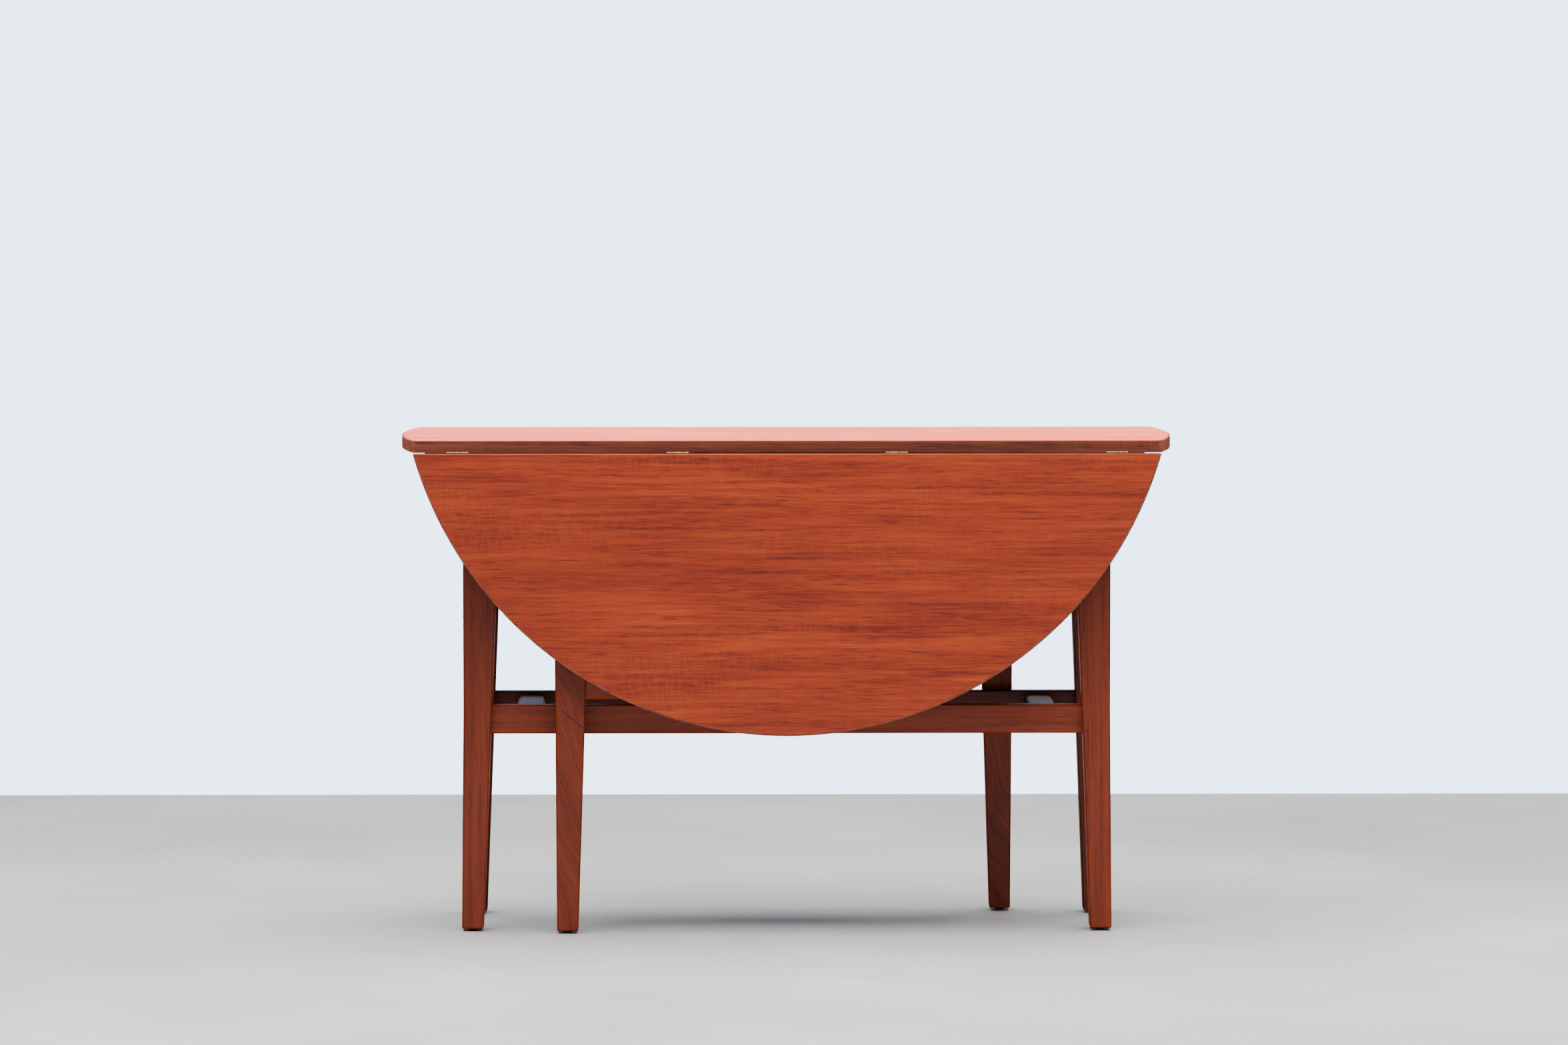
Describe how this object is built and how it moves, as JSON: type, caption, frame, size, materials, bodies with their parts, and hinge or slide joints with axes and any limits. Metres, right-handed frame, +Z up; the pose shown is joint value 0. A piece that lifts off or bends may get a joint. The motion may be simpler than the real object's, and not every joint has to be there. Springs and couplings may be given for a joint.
{
  "type": "drop leaf table",
  "caption": "Round-topped wooden gateleg table with hinged semicircular leaves hanging beside a narrow centre panel.",
  "frame": {"origin": "on the floor, under the middle of the centre panel", "axes": "+X along the long centre panel, -Y out through the front leaf, +Z up"},
  "size_m": [1.15, 0.3476, 0.735],
  "materials": {
    "top_wood": "oiled teak veneer, satin",
    "edge_wood": "oiled solid teak, satin",
    "frame_wood": "oiled solid teak, satin",
    "block_wood": "plain softwood, matt",
    "brass": "lightly tarnished",
    "steel": "dull"
  },
  "bodies": {
    "frame": {"apron_front": "frame_wood", "apron_left": "frame_wood", "apron_rear": "frame_wood", "apron_right": "frame_wood", "cross_rail_left": "frame_wood", "cross_rail_right": "frame_wood", "gate_leg_front": "frame_wood", "gate_leg_rear": "frame_wood", "gate_post_front": "frame_wood", "gate_post_rear": "frame_wood", "gate_rail_lower_front": "frame_wood", "gate_rail_lower_rear": "frame_wood", "gate_rail_upper_front": "frame_wood", "gate_rail_upper_rear": "frame_wood", "glides_gates": "steel", "glides_legs": "steel", "glue_blocks": "block_wood", "hinge_pins_front": "steel", "hinge_pins_rear": "steel", "hinge_screws_panel_front": "brass", "hinge_screws_panel_rear": "brass", "hinge_wings_panel_front": "brass", "hinge_wings_panel_rear": "brass", "leg_front_left": "frame_wood", "leg_front_right": "frame_wood", "leg_rear_left": "frame_wood", "leg_rear_right": "frame_wood", "pivot_pins_front": "steel", "pivot_pins_rear": "steel", "pivot_washers_front": "steel", "pivot_washers_rear": "steel", "stretcher_front": "frame_wood", "stretcher_rear": "frame_wood", "top_lipping": "edge_wood", "top_panel": "top_wood", "top_screws": "steel"},
    "leaf_front_body": {"hinge_screws_leaf_front": "brass", "hinge_wings_leaf_front": "brass", "leaf_front": "top_wood", "leaf_lipping_front": "edge_wood", "leaf_stop_front": "block_wood", "leaf_stop_screws_front": "steel"},
    "leaf_rear_body": {"hinge_screws_leaf_rear": "brass", "hinge_wings_leaf_rear": "brass", "leaf_lipping_rear": "edge_wood", "leaf_rear": "top_wood", "leaf_stop_rear": "block_wood", "leaf_stop_screws_rear": "steel"}
  },
  "joints": [
    {"name": "leaf_front_hinge", "type": "hinge", "parent": "frame", "child": "leaf_front_body", "pos_m": [0, -0.1555, 0.7167], "axis": [-1, 0, 0], "range_deg": [0, 90]},
    {"name": "leaf_rear_hinge", "type": "hinge", "parent": "frame", "child": "leaf_rear_body", "pos_m": [0, 0.1555, 0.7167], "axis": [1, 0, 0], "range_deg": [0, 90]}
  ]
}
